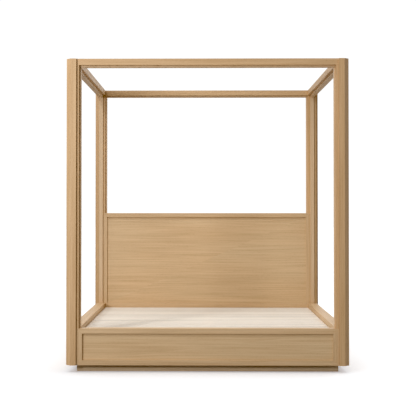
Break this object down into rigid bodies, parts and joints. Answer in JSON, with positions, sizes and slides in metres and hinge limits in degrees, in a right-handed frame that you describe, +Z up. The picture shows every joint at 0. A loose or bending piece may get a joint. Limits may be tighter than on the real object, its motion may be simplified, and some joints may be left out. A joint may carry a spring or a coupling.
{
  "type": "four poster canopy bed",
  "caption": "Oak four poster bed: square posts joined by a flat rail canopy, framed panel headboard and footboard, bare slat deck, set-back plinth.",
  "frame": {"origin": "on the floor under the centre of the bed", "axes": "+Z up, -Y towards the foot of the bed, +Y towards the headboard, +X to the right as seen from the foot"},
  "size_m": [2.13, 2.232, 2.362],
  "materials": {
    "oak": "satin oiled oak with straight grain",
    "oak_panel": "satin oak veneer with horizontal grain",
    "slat_wood": "matte sanded pale softwood",
    "softwood": "matte planed softwood",
    "zinc_steel": "bright zinc plate",
    "foot_plastic": "moulded, fine texture"
  },
  "bodies": {
    "bed_frame": {"post_front_left": "oak", "post_front_right": "oak", "post_back_left": "oak", "post_back_right": "oak", "corner_stile_front_left": "oak", "corner_stile_front_right": "oak", "corner_stile_back_left": "oak", "corner_stile_back_right": "oak", "jamb_liners_front_left": "oak", "jamb_liners_front_right": "oak", "jamb_liners_back_left": "oak", "jamb_liners_back_right": "oak", "canopy_rail_front": "oak", "canopy_rail_back": "oak", "canopy_rail_left": "oak", "canopy_rail_right": "oak", "canopy_liners_front_back": "oak", "canopy_liners_left_right": "oak", "footboard_top_rail": "oak", "footboard_bottom_rail": "oak", "footboard_stiles": "oak", "footboard_panel": "oak_panel", "footboard_inner_board": "oak_panel", "left_rail_top": "oak", "left_rail_bottom": "oak", "left_rail_stiles": "oak", "left_rail_panel": "oak_panel", "left_rail_inner_board": "oak_panel", "right_rail_top": "oak", "right_rail_bottom": "oak", "right_rail_stiles": "oak", "right_rail_panel": "oak_panel", "right_rail_inner_board": "oak_panel", "headboard_top_rail": "oak", "headboard_middle_rail": "oak", "headboard_bottom_rail": "oak", "headboard_stiles": "oak", "headboard_front_panel": "oak_panel", "headboard_back_panel": "oak_panel", "headboard_lower_panel": "oak_panel", "headboard_inner_board": "oak_panel", "headboard_ribs": "softwood", "slat_cleats": "softwood", "slats": "slat_wood", "wood_screws": "zinc_steel", "centre_beam": "softwood", "beam_hangers": "zinc_steel", "centre_legs": "softwood", "plinth_front": "oak", "plinth_back": "oak", "plinth_left": "oak", "plinth_right": "oak", "plinth_corner_blocks": "softwood", "post_bolts": "zinc_steel", "canopy_bolts": "zinc_steel", "barrel_nuts": "zinc_steel"},
    "front_stem": {"leveller_stem_front": "zinc_steel"},
    "front_pad": {"leveller_pad_front": "foot_plastic"},
    "back_stem": {"leveller_stem_back": "zinc_steel"},
    "back_pad": {"leveller_pad_back": "foot_plastic"}
  },
  "joints": [
    {"name": "front_pad_travel", "type": "slide", "parent": "bed_frame", "child": "front_pad", "axis": [0, 0, -1], "range_m": [0, 0.012]},
    {"name": "front_stem_turn", "type": "hinge", "parent": "front_pad", "child": "front_stem", "pos_m": [0, -0.34, 0.04], "axis": [0, 0, -1], "range_deg": [0, 2880]},
    {"name": "back_pad_travel", "type": "slide", "parent": "bed_frame", "child": "back_pad", "axis": [0, 0, -1], "range_m": [0, 0.012]},
    {"name": "back_stem_turn", "type": "hinge", "parent": "back_pad", "child": "back_stem", "pos_m": [0, 0.34, 0.04], "axis": [0, 0, -1], "range_deg": [0, 2880]}
  ],
  "couplings": [
    {"joint": "front_stem_turn", "follows": "front_pad_travel", "rad_per_m": 4188.8},
    {"joint": "back_stem_turn", "follows": "back_pad_travel", "rad_per_m": 4188.8}
  ]
}
